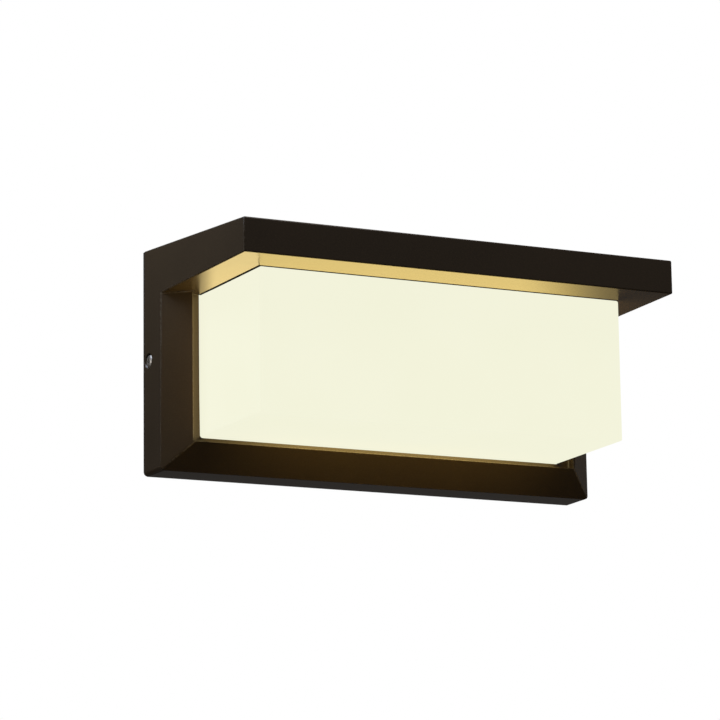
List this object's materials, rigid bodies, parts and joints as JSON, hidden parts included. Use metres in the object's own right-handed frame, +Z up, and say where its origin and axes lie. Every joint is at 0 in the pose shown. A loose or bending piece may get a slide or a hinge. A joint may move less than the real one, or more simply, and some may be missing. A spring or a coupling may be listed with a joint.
{
  "type": "outdoor wall lantern",
  "caption": "Rectangular outdoor wall lantern: a bevelled bronze die-cast frame whose flat hood stands out over a lit opal box, held on a steel wall bracket by side screws.",
  "frame": {"origin": "centre of the wall bracket's back face, on the wall, at half the housing's height and width", "axes": "+Y into the wall, the lantern's front faces -Y, +X to the right seen from in front, +Z up"},
  "size_m": [0.26, 0.126, 0.1233],
  "materials": {
    "bronze_paint": "satin, very dark bronze, fine texture",
    "opal": "opal polycarbonate, lit",
    "silicone": "translucent white silicone",
    "tray_aluminium": "rolled sheet",
    "board_white": "white solder mask",
    "white_plastic": "fine moulded texture",
    "circuit_board": "green solder mask",
    "winding": "yellow tape over ferrite",
    "capacitor_sleeve": "shrink sleeve",
    "brass": "nickel-free brass",
    "stainless": "turned",
    "zinc_steel": "zinc plated",
    "black_rubber": "matt",
    "lead_red": "silicone insulation",
    "lead_black": "silicone insulation",
    "lead_brown": "PVC insulation",
    "lead_blue": "PVC insulation",
    "lead_green": "green and yellow PVC insulation"
  },
  "bodies": {
    "lamp": {"housing": "bronze_paint", "diffuser": "opal", "diffuser_gasket": "silicone", "led_tray": "tray_aluminium", "tray_screw_1": "zinc_steel", "tray_screw_2": "zinc_steel", "tray_screw_3": "zinc_steel", "tray_screw_4": "zinc_steel", "tray_screw_5": "zinc_steel", "tray_screw_6": "zinc_steel", "tray_screw_7": "zinc_steel", "tray_screw_8": "zinc_steel", "led_board": "board_white", "board_screw_1": "zinc_steel", "board_screw_2": "zinc_steel", "board_screw_3": "zinc_steel", "board_screw_4": "zinc_steel", "led_lead_plus": "lead_red", "led_lead_minus": "lead_black", "tray_grommet": "silicone", "driver_case": "white_plastic", "driver_end_cover": "white_plastic", "driver_screw_1": "zinc_steel", "driver_screw_2": "zinc_steel", "driver_board": "circuit_board", "driver_transformer": "winding", "driver_capacitor": "capacitor_sleeve", "terminal_block": "white_plastic", "terminal_fixing_1": "zinc_steel", "terminal_fixing_2": "zinc_steel", "terminal_insert_1": "brass", "terminal_insert_2": "brass", "terminal_insert_3": "brass", "clamp_screw_1": "zinc_steel", "clamp_screw_2": "zinc_steel", "clamp_screw_3": "zinc_steel", "clamp_screw_4": "zinc_steel", "clamp_screw_5": "zinc_steel", "clamp_screw_6": "zinc_steel", "live_lead": "lead_brown", "neutral_lead": "lead_blue", "earth_lead": "lead_green", "earth_lug": "brass", "earth_washer": "stainless", "earth_screw": "brass", "wall_bracket": "zinc_steel", "wall_gasket": "black_rubber"},
    "left_seal": {"side_o_ring_left": "black_rubber"},
    "left_screw": {"side_screw_left": "stainless"},
    "right_seal": {"side_o_ring_right": "black_rubber"},
    "right_screw": {"side_screw_right": "stainless"}
  },
  "joints": [
    {"name": "left_screw_travel", "type": "slide", "parent": "lamp", "child": "left_seal", "axis": [-1, 0, 0], "range_m": [0, 0.007]},
    {"name": "left_screw_turn", "type": "hinge", "parent": "left_seal", "child": "left_screw", "pos_m": [-0.1277, -0.0075, 0], "axis": [-1, 0, 0], "range_deg": [0, 3600]},
    {"name": "right_screw_travel", "type": "slide", "parent": "lamp", "child": "right_seal", "axis": [1, 0, 0], "range_m": [0, 0.007]},
    {"name": "right_screw_turn", "type": "hinge", "parent": "right_seal", "child": "right_screw", "pos_m": [0.1277, -0.0075, 0], "axis": [1, 0, 0], "range_deg": [0, 3600]}
  ],
  "couplings": [
    {"joint": "left_screw_turn", "follows": "left_screw_travel", "rad_per_m": 8975.9},
    {"joint": "right_screw_turn", "follows": "right_screw_travel", "rad_per_m": 8975.9}
  ]
}
